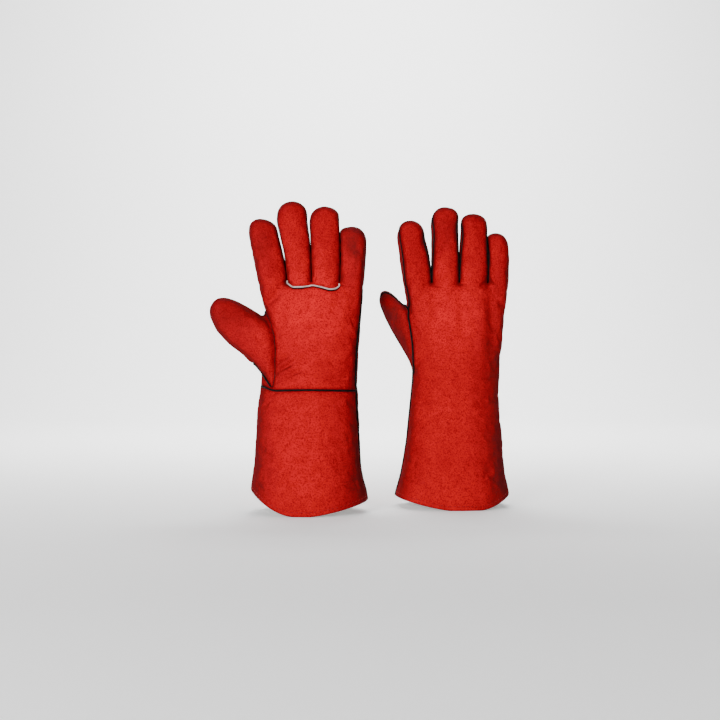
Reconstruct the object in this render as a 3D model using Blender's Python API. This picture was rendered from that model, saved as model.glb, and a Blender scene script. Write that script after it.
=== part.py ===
"""A pair of lined split-leather welding gauntlets, standing side by side on their hems.

Metres, +Z up, origin on the floor midway between the gloves. The left glove shows its palm to -Y and the
right glove shows its back to -Y, so both thumbs point to -X. Tables below are in millimetres, measured
from each glove's own centre line on the floor.
"""

import bmesh
import bpy
from math import acos, copysign, cos, pi, sin, sqrt
from mathutils import Vector

MM = 0.001
LEATHER = 2.0  # thickness of every leather panel
LINING = 1.2  # thickness of the lining
LINING_GAP_HAND = 2.0  # air between panels and lining around the hand and cuff
LINING_GAP_FINGER = 1.2
LINING_GAP_THUMB = 3.0
SEAM = 0.5  # half of the gap left between two panels at a seam
FULLNESS = 2.2  # exponent of the superellipse used for every section

LEFT_CENTRE = (-61.527, -24.0)
RIGHT_CENTRE = (104.173, 24.0)

# Height, edge on the thumb side, edge on the little-finger side, half depth.
LEFT_BODY = [
    (0.0, -66.0, 66.5, 47.0),
    (20.0, -65.6, 65.3, 45.2),
    (40.0, -62.8, 60.4, 43.2),
    (64.0, -59.6, 57.8, 41.0),
    (105.0, -58.1, 56.5, 36.5),
    (138.0, -53.6, 54.5, 31.0),
    (165.0, -53.0, 54.0, 29.0),
    (197.0, -52.0, 56.5, 26.0),
    (227.0, -52.0, 59.8, 22.6),
    (243.0, -54.4, 61.4, 20.2),
    (259.0, -57.4, 62.6, 17.5),
]
RIGHT_BODY = [
    (0.0, -66.8, 67.0, 47.0),
    (20.0, -64.6, 65.6, 45.2),
    (40.0, -58.8, 61.8, 43.2),
    (64.0, -53.6, 59.5, 41.0),
    (105.0, -49.6, 55.3, 36.5),
    (138.0, -47.0, 53.8, 31.0),
    (165.0, -46.0, 55.8, 29.0),
    (197.0, -49.1, 58.8, 26.0),
    (227.0, -52.4, 62.2, 22.6),
    (243.0, -54.4, 63.0, 20.2),
    (259.0, -56.4, 64.6, 17.5),
]

HEM_FLAT = 24.0  # the hem rests on the floor this far each side of its middle
LEFT_HEM_RISE = (28.0, 14.0)  # height of the hem's corners, thumb side then little-finger side
RIGHT_HEM_RISE = (12.0, 14.0)

HEM_POWER = 1.5
HEM_CLEARANCE = 1.0  # the side welt stops this far above the hem
LINING_HEM = 3.0  # the lining stops this far above the hem

CUFF_TOP = 105.0
WRIST_AXIS = 118.0
HAND_LINING_BOTTOM = 108.0
HAND_LINING_TOP = 257.5
BACK_BOTTOM = 131.0  # lower edge of the back panel of the hand
PALM_BOTTOM = 138.0  # the wrist seam, on the palm side only
PALM_TOP = 258.5
WELT_TOP = 261.3
KNUCKLE_AXIS = 264.0
KNUCKLE_INSET = 10.0  # the knuckle axis lies this far from the mid plane, towards the palm
FRONT_START = 273.5  # lower edge of the finger fronts, clear of the palm when they bend
BACK_START = 268.0
LINING_START = 260.0

# Finger: middle at the knuckles, middle near the tip, half width at the knuckles and near the tip, tip height.
LEFT_FINGERS = {
    "index": (-41.2, -53.6, 15.0, 15.6, 330.4),
    "middle": (-10.6, -19.6, 13.1, 15.0, 350.0),
    "ring": (19.0, 17.6, 14.2, 15.6, 344.4),
    "little": (48.8, 49.8, 13.2, 13.9, 321.6),
}
RIGHT_FINGERS = {
    "index": (-41.2, -48.8, 14.8, 15.0, 334.4),
    "middle": (-7.9, -8.8, 14.4, 14.9, 350.0),
    "ring": (25.0, 26.4, 14.6, 14.6, 342.6),
    "little": (53.6, 54.2, 12.2, 12.0, 319.6),
}
FINGER_DEPTH = (14.5, 13.0)  # half depth at the knuckles and near the tip
LEAN_RATE = 1.3  # the values near the tip are reached before the tip itself
FINGER_ROWS = [0.0, 0.25, 0.5, 0.75, 0.9, 1.0]
DOME_START = 0.72  # the tip starts to round off at this share of the finger's length
DOME_CUT = 0.93
STRIP_END = 0.76  # the side strips stop at this share of the length
STRIP_ANGLE = 0.62  # half of the arc that a side strip covers at the knuckles, radians
STRIP_TAPER = 0.06  # the strip would run out this far beyond its end
EDGE_GAP = 0.02  # extra room at a panel's edge, radians
THUMB_EDGE_GAP = 0.07
CUFF_EDGE_GAP = 0.012

# Thumb: upper edge, lower edge, half depth, shift towards the palm, at each station from root to tip.
LEFT_THUMB = [
    ((-46.7, 218.0), (-40.0, 141.0), 24.0, 2.0),
    ((-58.0, 225.0), (-55.0, 160.0), 22.0, 3.0),
    ((-70.0, 232.0), (-73.0, 177.0), 20.0, 4.0),
    ((-82.0, 238.0), (-90.0, 190.5), 18.0, 5.0),
    ((-93.0, 241.5), (-103.0, 205.0), 14.5, 6.0),
    ((-103.0, 240.0), (-110.2, 220.5), 7.0, 6.5),
]
RIGHT_THUMB = [
    ((-50.0, 226.0), (-42.0, 148.0), 24.0, 5.0),
    ((-57.5, 236.5), (-50.5, 173.0), 22.0, 9.0),
    ((-64.0, 243.8), (-60.0, 189.0), 20.0, 13.0),
    ((-70.0, 249.8), (-69.5, 205.5), 18.0, 17.0),
    ((-76.0, 253.8), (-77.6, 220.5), 14.5, 20.0),
    ((-81.4, 253.0), (-84.0, 237.0), 7.0, 22.0),
]
THUMB_PANEL_START = 0.9  # station where the leather starts, clear of the palm when the thumb swings
THUMB_LINING_START = 0.25
THUMB_LINING_SHORT = 0.5  # the lining ends this many stations before the tip
THUMB_ROWS = [0.0, 0.25, 0.5, 0.75, 0.9, 1.0]
THUMB_AXIS_INSET = 8.0

# Thumb opening: height, then how far its edge lies from the thumb-side edge of the hand.
THUMB_OPENING = [
    (140.0, 0.0),
    (150.0, 12.0),
    (165.0, 16.5),
    (184.0, 17.0),
    (203.0, 15.0),
    (218.0, 8.0),
    (228.0, 0.0),
]
BACK_OPENING_SHARE = 0.8  # the opening reaches less far on the back

SIDE_WELT_HALF = 1.6
SIDE_WELT_PROUD = 1.6
SIDE_WELT_THICK = 3.2
WRIST_WELT_PROUD = 0.8
WRIST_WELT_THICK = 3.0
WRIST_WELT_INSET = 0.1  # the wrist welt ends this far short of both side seams, radians
WELT_DEPTH = 3.0
FINGER_WELT = (-23.0, 33.0)  # ends of the pale welt, measured across the palm

FINISHES = {
    "leather": ((0.66, 0.035, 0.030), 0.88),
    "black_welt": ((0.018, 0.017, 0.018), 0.6),
    "pale_welt": ((0.62, 0.56, 0.54), 0.7),
    "lining": ((0.72, 0.68, 0.58), 0.95),
}


def clear_scene():
    for old in list(bpy.data.objects):
        bpy.data.objects.remove(old, do_unlink=True)


def mix(a, b, share):
    return a + (b - a) * share


def along(rows, key):
    """Values of a table at a height or station, straight between its rows."""
    if key <= rows[0][0]:
        return rows[0][1:]
    for low, high in zip(rows, rows[1:]):
        if key <= high[0]:
            share = (key - low[0]) / (high[0] - low[0])
            return tuple(mix(a, b, share) for a, b in zip(low[1:], high[1:]))
    return rows[-1][1:]


def rounded(value):
    return copysign(abs(value) ** (2.0 / FULLNESS), value)


def angle_at(x, middle, half_width):
    """The angle at which a section reaches a place across it, on the thumb-side half."""
    share = min(1.0, max(0.0, (middle - x) / half_width))
    return acos(-(share ** (FULLNESS / 2.0)))


def spread(count):
    return [i / count for i in range(count + 1)]


def material(name, kind):
    colour, rough = FINISHES[kind]
    made = bpy.data.materials.new(name + "_" + kind)
    made.use_nodes = True
    shader = made.node_tree.nodes["Principled BSDF"]
    shader.inputs["Base Color"].default_value = (*colour, 1.0)
    shader.inputs["Roughness"].default_value = rough
    shader.inputs["Metallic"].default_value = 0.0
    return made


def grid_faces(mesh, outer, inner, wrap, capped):
    """Close two point grids into one body: both skins, the two ends and, unless it wraps, both sides."""
    rows = len(outer)
    columns = len(outer[0])
    across = range(columns if wrap else columns - 1)
    for r in range(rows - 1):
        for c in across:
            n = (c + 1) % columns
            mesh.faces.new((outer[r][c], outer[r][n], outer[r + 1][n], outer[r + 1][c]))
            mesh.faces.new((inner[r][c], inner[r + 1][c], inner[r + 1][n], inner[r][n]))
    for c in across:
        n = (c + 1) % columns
        mesh.faces.new((outer[0][c], inner[0][c], inner[0][n], outer[0][n]))
        if not capped:
            mesh.faces.new((outer[-1][c], outer[-1][n], inner[-1][n], inner[-1][c]))
    if capped:
        mesh.faces.new(outer[-1])
        mesh.faces.new(inner[-1][::-1])
    if not wrap:
        for r in range(rows - 1):
            mesh.faces.new((outer[r][0], outer[r + 1][0], inner[r + 1][0], inner[r][0]))
            mesh.faces.new((outer[r][-1], inner[r][-1], inner[r + 1][-1], outer[r + 1][-1]))


def shell(name, skin, rows, columns, thickness, pivot, kind, wrap=False, capped=False):
    """One closed sheet. skin(u, v, depth) is a point in mm, depth below the outer face."""
    mesh = bmesh.new()
    across = columns[:-1] if wrap else columns
    outer = [[mesh.verts.new(skin(u, v, 0.0) * MM - pivot.place) for u in across] for v in rows]
    inner = [[mesh.verts.new(skin(u, v, thickness) * MM - pivot.place) for u in across] for v in rows]
    grid_faces(mesh, outer, inner, wrap, capped)
    bmesh.ops.triangulate(mesh, faces=mesh.faces[:])
    bmesh.ops.recalc_face_normals(mesh, faces=mesh.faces[:])
    data = bpy.data.meshes.new(name)
    mesh.to_mesh(data)
    mesh.free()
    data.shade_smooth()
    data.set_sharp_from_angle(angle=0.7)
    made = bpy.data.objects.new(name, data)
    made.data.materials.append(material(name, kind))
    made.parent = pivot.empty
    bpy.context.scene.collection.objects.link(made)
    return made


class Pivot:
    """An empty on a joint's axis that carries the pieces of one moving body."""

    def __init__(self, name, place, parent=None):
        self.place = Vector(place) * MM
        self.empty = bpy.data.objects.new(name, None)
        self.empty.empty_display_size = 0.02
        self.empty.location = self.place
        if parent:
            self.empty.parent = parent.empty
            self.empty.location = self.place - parent.place
        bpy.context.scene.collection.objects.link(self.empty)


class Glove:
    """Surfaces of one glove. palm is -1 where the palm faces -Y and 1 where it faces +Y."""

    def __init__(self, side, centre, palm, body, hem_rise, fingers, thumb):
        self.side = side
        self.centre = centre
        self.palm = palm
        self.body = body
        self.hem_rise = hem_rise
        self.fingers = fingers
        self.thumb = thumb

    def world(self, x, depth, z):
        """A point from glove measures; depth is positive towards the palm."""
        return Vector((self.centre[0] + x, self.centre[1] + self.palm * depth, z))

    def section(self, z):
        low, high, half_depth = along(self.body, z)
        return (low + high) / 2.0, (high - low) / 2.0, half_depth

    def body_point(self, angle, z, depth):
        middle, half_width, half_depth = self.section(z)
        x = middle + (half_width - depth) * rounded(cos(angle))
        return self.world(x, (half_depth - depth) * rounded(sin(angle)), z)

    def hem_height(self, angle):
        """The hem lies on the floor in the middle and rises to both corners."""
        middle, half_width, _ = self.section(0.0)
        x = middle + half_width * rounded(cos(angle))
        rise = self.hem_rise[0] if x < 0.0 else self.hem_rise[1]
        past = max(0.0, abs(x) - HEM_FLAT) / (half_width - HEM_FLAT)
        return rise * past**HEM_POWER

    def cuff_skin(self, first, last, inset):
        """The skin of the cuff between two angles, from the hem up to the wrist."""

        def skin(u, v, depth):
            angle = mix(first, last, u)
            z = mix(self.hem_height(angle), CUFF_TOP, v)
            return self.body_point(angle, z, inset + depth)

        return skin

    def opening_edge(self, z, share):
        """Angle of the thumb-side edge of a hand panel at a height."""
        middle, half_width, half_depth = self.section(z)
        reach = along(THUMB_OPENING, z)[0] * share
        edge = angle_at(middle - half_width + reach, middle, half_width)
        return min(edge, pi - SEAM / half_depth)

    def hand_skin(self, bottom, top, back):
        def skin(u, v, depth):
            z = mix(bottom, top, v)
            half_depth = self.section(z)[2]
            last = self.opening_edge(z, BACK_OPENING_SHARE if back else 1.0)
            angle = mix(SEAM / half_depth, last, u)
            return self.body_point(-angle if back else angle, z, depth)

        return skin

    def hand_lining_skin(self, bottom, top):
        inset = LEATHER + LINING_GAP_HAND

        def skin(u, v, depth):
            z = mix(bottom, top, v)
            palm_edge = self.opening_edge(z, 1.0)
            back_edge = self.opening_edge(z, BACK_OPENING_SHARE)
            return self.body_point(mix(-back_edge, palm_edge, u), z, inset + depth)

        return skin

    def finger_point(self, finger, angle, z, depth):
        low_x, high_x, low_half, high_half, tip = finger
        share = (z - KNUCKLE_AXIS) / (tip - KNUCKLE_AXIS)
        lean = min(1.0, max(0.0, share) * LEAN_RATE)
        half_width = mix(low_half, high_half, lean)
        half_depth = mix(FINGER_DEPTH[0], FINGER_DEPTH[1], lean)
        past = max(0.0, share - DOME_START) / (1.0 - DOME_START)
        round_off = sqrt(1.0 - (past * DOME_CUT) ** 2)
        x = mix(low_x, high_x, lean) + (half_width * round_off - depth) * rounded(cos(angle))
        across = max(0.4, half_depth * round_off - depth)
        return self.world(x, across * rounded(sin(angle)), z - depth * past)

    def strip_angle(self, v):
        return STRIP_ANGLE * sqrt(max(0.0, 1.0 - v / (STRIP_END + STRIP_TAPER)))

    def finger_panel_skin(self, finger, start, back, strips):
        """strips says whether a side strip runs along the little-finger side and the thumb side."""
        tip = finger[4]

        def skin(u, v, depth):
            z = mix(start, tip, v)
            along_finger = (z - BACK_START) / (tip - BACK_START)
            strip = self.strip_angle(along_finger)
            gap = SEAM / FINGER_DEPTH[1] + EDGE_GAP
            first = gap + (strip if strips[0] else 0.0)
            last = pi - gap - (strip if strips[1] else 0.0)
            angle = mix(first, last, u)
            return self.finger_point(finger, -angle if back else angle, z, depth)

        return skin

    def strip_skin(self, finger, thumb_side):
        tip = finger[4]

        def skin(u, v, depth):
            z = mix(BACK_START, tip, v * STRIP_END)
            half = self.strip_angle(v * STRIP_END) - SEAM / FINGER_DEPTH[1]
            angle = mix(-half, half, u) + (pi if thumb_side else 0.0)
            return self.finger_point(finger, angle, z, depth)

        return skin

    def finger_lining_skin(self, finger):
        inset = LEATHER + LINING_GAP_FINGER

        def skin(u, v, depth):
            z = mix(LINING_START, finger[4] - inset, v)
            return self.finger_point(finger, 2.0 * pi * u, z, inset + depth)

        return skin

    def thumb_point(self, angle, station, depth):
        rows = [(i, *top, *low, d, s) for i, (top, low, d, s) in enumerate(self.thumb)]
        top_x, top_z, low_x, low_z, half_depth, shift = along(rows, station)
        half = Vector((top_x - low_x, top_z - low_z)) / 2.0
        width = max(0.5, half.length - depth)
        reach = half.normalized() * width * rounded(cos(angle))
        x = (top_x + low_x) / 2.0 + reach.x
        z = (top_z + low_z) / 2.0 + reach.y
        across = max(0.4, half_depth - depth)
        root = self.thumb_root()
        tip = self.thumb_tip()
        past = max(0.0, station - 4.0)
        pull = (root - tip).normalized() * depth * past
        return self.world(x + pull.x, shift + across * rounded(sin(angle)), z + pull.y)

    def thumb_root(self):
        top, low = self.thumb[0][:2]
        return (Vector(top) + Vector(low)) / 2.0

    def thumb_tip(self):
        top, low = self.thumb[-1][:2]
        return (Vector(top) + Vector(low)) / 2.0

    def thumb_panel_skin(self, back):
        last = len(self.thumb) - 1

        def skin(u, v, depth):
            station = mix(THUMB_PANEL_START, last, v)
            angle = mix(THUMB_EDGE_GAP, pi - THUMB_EDGE_GAP, u)
            return self.thumb_point(-angle if back else angle, station, depth)

        return skin

    def thumb_lining_skin(self):
        inset = LEATHER + LINING_GAP_THUMB
        last = len(self.thumb) - 1 - THUMB_LINING_SHORT

        def skin(u, v, depth):
            station = mix(THUMB_LINING_START, last, v)
            return self.thumb_point(2.0 * pi * u, station, inset + depth)

        return skin

    def wrist_welt_skin(self):
        def skin(u, v, depth):
            z = mix(PALM_BOTTOM - WELT_DEPTH, PALM_BOTTOM - SEAM, v)
            angle = mix(WRIST_WELT_INSET, pi - WRIST_WELT_INSET, u)
            return self.body_point(angle, z, depth - WRIST_WELT_PROUD)

        return skin

    def finger_welt_skin(self):
        def skin(u, v, depth):
            z = mix(PALM_TOP + SEAM, WELT_TOP, v)
            middle, half_width, _ = self.section(z)
            share = (mix(FINGER_WELT[0], FINGER_WELT[1], u) - middle) / half_width
            angle = acos(copysign(abs(share) ** (FULLNESS / 2.0), share))
            return self.body_point(angle, z, depth)

        return skin

    def side_welt_skin(self):
        def skin(u, v, depth):
            z = mix(self.hem_height(0.0) + HEM_CLEARANCE, CUFF_TOP, v)
            point = self.body_point(0.0, z, depth - SIDE_WELT_PROUD)
            point.y = self.centre[1] + mix(-SIDE_WELT_HALF, SIDE_WELT_HALF, u)
            return point

        return skin


def build_cuff(glove, pivot):
    side = glove.side
    edge = (SIDE_WELT_HALF + SEAM) / glove.section(CUFF_TOP)[2]
    for name, turn in (("cuff_palm_panel", 1.0), ("cuff_back_panel", -1.0)):
        skin = glove.cuff_skin(turn * edge, turn * (pi - CUFF_EDGE_GAP), 0.0)
        shell(f"{side}_{name}", skin, spread(5), spread(10), LEATHER, pivot, "leather")
    skin = lifted(glove.cuff_skin(-pi / 2.0, pi * 1.5, LEATHER + LINING_GAP_HAND), LINING_HEM)
    shell(f"{side}_cuff_lining", skin, spread(4), spread(20), LINING, pivot, "lining", wrap=True)
    skin = glove.side_welt_skin()
    shell(f"{side}_cuff_side_welt", skin, spread(5), spread(2), SIDE_WELT_THICK, pivot, "black_welt")


def lifted(skin, rise):
    """The same skin with its lower edge raised, so that a lining never touches the floor."""

    def higher(u, v, depth):
        point = skin(u, v, depth)
        point.z += rise * (1.0 - v)
        return point

    return higher


def build_hand(glove, pivot):
    side = glove.side
    rows = spread(7)
    palm = glove.hand_skin(PALM_BOTTOM, PALM_TOP, False)
    shell(f"{side}_palm_panel", palm, rows, spread(8), LEATHER, pivot, "leather")
    back = glove.hand_skin(BACK_BOTTOM, PALM_TOP, True)
    shell(f"{side}_hand_back_panel", back, rows, spread(8), LEATHER, pivot, "leather")
    lining = glove.hand_lining_skin(HAND_LINING_BOTTOM, HAND_LINING_TOP)
    shell(f"{side}_hand_lining", lining, rows, spread(16), LINING, pivot, "lining")
    welt = glove.wrist_welt_skin()
    shell(f"{side}_wrist_welt", welt, spread(1), spread(10), WRIST_WELT_THICK, pivot, "black_welt")
    welt = glove.finger_welt_skin()
    shell(f"{side}_finger_welt", welt, spread(1), spread(6), WELT_DEPTH, pivot, "pale_welt")


def build_thumb(glove, pivot):
    side = glove.side
    for name, back in (("thumb_front", False), ("thumb_back", True)):
        skin = glove.thumb_panel_skin(back)
        shell(f"{side}_{name}", skin, THUMB_ROWS, spread(6), LEATHER, pivot, "leather")
    skin = glove.thumb_lining_skin()
    shell(f"{side}_thumb_lining", skin, THUMB_ROWS, spread(10), LINING, pivot, "lining", wrap=True, capped=True)


# Side strips of each finger: name, and whether the strip lies on the finger's thumb side.
STRIPS = {
    "index": [("index_fourchette", False)],
    "middle": [("middle_fourchette_index_side", True), ("middle_fourchette_ring_side", False)],
    "ring": [("ring_fourchette_middle_side", True), ("ring_fourchette_little_side", False)],
    "little": [("little_fourchette", True)],
}


def build_finger(glove, name, pivot):
    side = glove.side
    finger = glove.fingers[name]
    strips = STRIPS[name]
    sides = (any(not s for _, s in strips), any(s for _, s in strips))
    for part, start, back in (("front", FRONT_START, False), ("back", BACK_START, True)):
        skin = glove.finger_panel_skin(finger, start, back, sides)
        shell(f"{side}_{name}_{part}", skin, FINGER_ROWS, spread(5), LEATHER, pivot, "leather")
    for strip, thumb_side in strips:
        skin = glove.strip_skin(finger, thumb_side)
        shell(f"{side}_{strip}", skin, spread(3), spread(2), LEATHER, pivot, "leather")
    skin = glove.finger_lining_skin(finger)
    shell(f"{side}_{name}_lining", skin, FINGER_ROWS, spread(8), LINING, pivot, "lining", wrap=True, capped=True)


def build_glove(glove):
    side = glove.side
    cuff = Pivot(f"{side}_stand", glove.world(0.0, 0.0, 0.0))
    wrist = Pivot(f"{side}_wrist_axis", glove.world(0.0, 0.0, WRIST_AXIS), cuff)
    root = glove.thumb_root()
    thumb = Pivot(f"{side}_thumb_axis", glove.world(root.x, THUMB_AXIS_INSET, root.y), wrist)
    build_cuff(glove, cuff)
    build_hand(glove, wrist)
    build_thumb(glove, thumb)
    for name, finger in glove.fingers.items():
        place = glove.world(finger[0], KNUCKLE_INSET, KNUCKLE_AXIS)
        build_finger(glove, name, Pivot(f"{side}_{name}_axis", place, wrist))


def main():
    clear_scene()
    build_glove(Glove("left", LEFT_CENTRE, -1.0, LEFT_BODY, LEFT_HEM_RISE, LEFT_FINGERS, LEFT_THUMB))
    build_glove(Glove("right", RIGHT_CENTRE, 1.0, RIGHT_BODY, RIGHT_HEM_RISE, RIGHT_FINGERS, RIGHT_THUMB))


main()
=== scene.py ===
import math

import bmesh
import bpy
import numpy as np
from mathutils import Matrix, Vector, kdtree


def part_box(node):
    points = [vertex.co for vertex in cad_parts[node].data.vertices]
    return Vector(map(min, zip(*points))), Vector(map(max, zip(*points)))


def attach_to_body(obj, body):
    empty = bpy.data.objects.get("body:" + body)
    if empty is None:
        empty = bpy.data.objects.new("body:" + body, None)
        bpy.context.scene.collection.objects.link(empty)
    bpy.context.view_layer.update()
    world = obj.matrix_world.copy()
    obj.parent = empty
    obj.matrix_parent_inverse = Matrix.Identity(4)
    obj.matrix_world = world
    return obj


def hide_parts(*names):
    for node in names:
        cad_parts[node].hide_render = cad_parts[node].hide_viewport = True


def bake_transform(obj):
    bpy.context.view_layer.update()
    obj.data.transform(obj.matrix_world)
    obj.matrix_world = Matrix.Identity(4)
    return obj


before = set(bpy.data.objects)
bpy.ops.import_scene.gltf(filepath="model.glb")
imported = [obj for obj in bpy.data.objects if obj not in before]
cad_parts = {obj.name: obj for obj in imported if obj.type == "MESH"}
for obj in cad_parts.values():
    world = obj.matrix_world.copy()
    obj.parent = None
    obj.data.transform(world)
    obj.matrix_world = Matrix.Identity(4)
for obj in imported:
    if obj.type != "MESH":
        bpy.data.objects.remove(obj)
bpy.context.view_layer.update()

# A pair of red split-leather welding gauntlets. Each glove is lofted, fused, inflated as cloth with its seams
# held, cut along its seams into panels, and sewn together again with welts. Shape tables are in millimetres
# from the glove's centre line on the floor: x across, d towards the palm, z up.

MM = 0.001

VOXEL = 2.4
LEATHER = 2.0
HEM_FLOOR = 0.4  # the inner face of the leather stays this far above the floor
LINING_GAP = 0.3
LINING = 1.3
LINING_DIP = 0.6  # share of a seam's dip that the lining keeps clear of
LINING_HEM = 2.5  # the lining stops this far above the hem
FULLNESS = 2.25
WELT_RADIUS = 1.15
SIDE_WELT_RADIUS = 1.5
PALE_WELT_RADIUS = 0.82
SEAM_DIP = 1.5
SEAM_DIP_WIDTH = 4.2
FINGER_DIP = 0.55  # share of the dip at a finger's seams
# painted shade near a seam fades over this distance
SEAM_SHADE = 5.0
PUCKER_PLACE = 3.2  # the leather puckers this far from a seam
PUCKER_WIDTH = 2.2
PUCKERS = [(0.16, 1.35, 0.0), (0.12, 2.9, 1.0)]  # height, length and turn of each wave along a seam
STRIP_HALF = 5.0
STRIP_MIDDLE = -3.4
SPREAD = 7.6  # room between two fingers until they are pushed together
SHRUNK = 1.75  # how far smoothing and the seams draw in the side of a finger
GROW = 0.8  # how far they draw in the rest
LEAST_ROOM = 0.4  # between two fingers
CUFF_OFFSET = 0.25  # from the glove's centre line to the middle of the cuff's box
SEAM_SWING = 6.0  # width over which a side seam swings across to the other side
STRIP_SIDE = (2.0, 7.0)  # how far from a finger's middle its strip comes in
STRIP_FOOT = (256.5, 266.0)
STRIP_HEAD = (9.0, 16.0)  # the strip ends this far below the tip, and narrows over this length
WRIST_RISE = 5.0  # the wrist seam climbs this much on the thumb side
WRIST_RISE_SPAN = (36.0, 56.0)
WRIST_BOW = (0.8, 26.0)
KNUCKLE_SPAN = 3.0  # depth over which the knuckle seam changes from palm to back
CUFF_HALF = 66.0
THUMB_SEAM_SPAN = 12.0  # depth over which the thumb's seam changes from back to palm
CROTCH_SLOPE = 1.7
FOOT_SLOPE = 1.28  # the seam under the thumb, which then drops away past its reach
FOOT_REACH = 22.0
FOOT_DROP = 8.0
BLACK, SIDE, PALE, TUCK = "black", "side", "pale", "tuck"

# Height, thumb-side edge, little-finger-side edge, half depth.
LEFT_BODY = [
    (-20, -66.5, 67, 47), (12, -65.8, 66.4, 46), (24, -65, 64.5, 44.8), (36, -63.6, 60.8, 43.6),
    (47, -61.8, 58.6, 42.6), (60, -60.2, 57.6, 41.2), (92, -58.6, 56.4, 38), (114, -57.4, 55, 34.5),
    (137, -54.3, 54.6, 31), (150, -53.4, 54, 30), (182, -50, 55, 28), (205, -49, 57.4, 26),
    (227, -49.4, 59.2, 23), (243, -53, 60.8, 20.2), (256, -56, 61.6, 18.2),
]
RIGHT_BODY = [
    (-20, -67, 67.2, 47), (14, -66.2, 66.6, 46), (24, -63.4, 64.6, 44.8), (36, -60, 61.6, 43.6),
    (54, -56.6, 59.4, 41.8), (77, -53, 58.2, 39.4), (100, -50.8, 55.8, 36.8), (124, -48.4, 54.4, 33),
    (147, -46.2, 54.5, 30.4), (171, -46, 56, 28.8), (195, -47.6, 59, 26.6),
    (227, -51.4, 61.4, 23), (243, -53.2, 62, 20.2), (256, -55, 63.4, 18.2),
]
BODY_START = -20.0
SHOULDER = 250.0  # the hand rounds off above this height
SHOULDER_NARROWING = 3.0
BODY_TOP = {"left": 258.5, "right": 262.0}

# Finger: (height, middle, half width) rows, then the height and place of the tip.
LEFT_FINGERS = {
    "index": ([(232, -36, 14.5), (262, -41.2, 15.9), (284, -45.2, 16.5), (312, -51.5, 15.8)], (330.2, -56)),
    "middle": ([(232, -10, 12.6), (264, -10.8, 13.1), (290, -12.4, 14), (312, -16.2, 15.4), (328, -19.2, 16)],
               (350.2, -19)),
    "ring": ([(232, 18, 14), (264, 19.4, 15.2), (300, 18.8, 15.5), (324, 17.8, 15.9)], (344.3, 17.4)),
    "little": ([(232, 46, 12.4), (264, 48.9, 12.8), (290, 50.1, 13.6), (306, 50.1, 14)], (321.4, 48.6)),
}
RIGHT_FINGERS = {
    "index": ([(232, -36, 14.5), (264, -40.4, 16.4), (292, -43.8, 16.8), (314, -47.9, 15.6)], (334.5, -48.6)),
    "middle": ([(232, -8, 14), (264, -7.8, 16), (282, -7.6, 15.2), (300, -7.5, 14.8), (330, -8.7, 15)],
               (350.5, -8)),
    "ring": ([(232, 24, 14.4), (264, 25.2, 16.6), (284, 25.6, 16.2), (300, 25.9, 15.6), (324, 26.9, 14.6)],
             (342.6, 24.5)),
    "little": ([(232, 51, 11.6), (264, 53.9, 12), (290, 54.7, 12), (304, 54.3, 11.7)], (319.6, 52.8)),
}
FINGER_ORDER = ["index", "middle", "ring", "little"]
FINGER_BASE_DEPTH = 18.2
FINGER_TIP_DEPTH = 13.4
FINGER_TAPER_START = 262.0
TIP_POWER = 2.3
TIP_DEPTH_POWER = 2.1
ROOT_DEPTH = {"index": 0.72, "middle": 0.9, "ring": 0.9, "little": 0.5}  # where a finger starts, in the hand
ROOT_TOP = 257.0  # a finger has its full depth from here

# Thumb: (upper edge, lower edge, half depth, shift towards the palm) from root to tip.
LEFT_THUMB = [
    ((-24, 204), (-22, 158), 17, 1), ((-46.7, 215.5), (-42, 143), 24.5, 2),
    ((-58, 223.6), (-56, 160), 22.5, 3), ((-70, 231), (-73, 177), 20, 4),
    ((-82, 237.3), (-89.5, 189.5), 18, 5), ((-93, 241), (-102.4, 203.4), 16, 6),
    ((-101.5, 240.6), (-109.6, 218.4), 11.5, 6.5), ((-106.6, 237), (-111, 227), 6, 6.5),
]
RIGHT_THUMB = [
    ((-24, 212), (-22, 166), 17, 2), ((-50, 229), (-41, 150), 24.5, 5),
    ((-57.5, 237.4), (-50, 172), 22.5, 9), ((-64, 244.4), (-59.5, 188.5), 20, 13),
    ((-70, 250), (-69, 205), 18, 17), ((-76, 253.8), (-76.6, 220), 16, 20),
    ((-80.6, 253.8), (-82.4, 234), 11.5, 22), ((-83.2, 251.2), (-84.6, 241.5), 6, 22),
]

# The seam that joins the thumb to the palm: height and place across.
LEFT_THUMB_SEAM = [
    (132, -39), (140, -40.5), (152, -37.5), (163, -36.5), (184, -36), (199, -37.5), (216, -43.5), (224, -46),
]
RIGHT_THUMB_SEAM = [
    (140, -40), (150, -41), (162, -38), (173, -37), (194, -37), (209, -39), (224, -46), (232, -49),
]
LEFT_THUMB_BACK_SEAM = [(140, -46), (186, -47), (222, -50)]
RIGHT_THUMB_BACK_SEAM = [(150, -46), (189, -47.5), (222, -51.5)]
LEFT_CROTCH = (-46.7, 219.5)
RIGHT_CROTCH = (-50.0, 227.5)
LEFT_FOOT = (-40.0, 139.0)
RIGHT_FOOT = (-40.5, 149.0)
LEFT_THUMB_TURN = (-1.0, -7.0)  # how far from its mid plane the thumb's own seam runs: upper, lower
RIGHT_THUMB_TURN = (-8.0, -1.0)

# The seam at the foot of the middle and ring finger fronts: place across and height.
LEFT_KNUCKLE_SEAM = [
    (-26, 262), (-23.5, 257), (-17.5, 252.4), (-6, 252.6), (5, 254.9), (14, 252.6), (24, 249.8), (31, 250.6),
    (34.6, 254), (37, 262),
]
RIGHT_KNUCKLE_SEAM = [
    (-25, 262), (-22.4, 257), (-16, 252.4), (-4, 252.6), (8.6, 254.9), (20, 252.4), (31, 250), (38, 251),
    (41.6, 254), (44, 262),
]
KNUCKLE_CUT = 257.0

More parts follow.
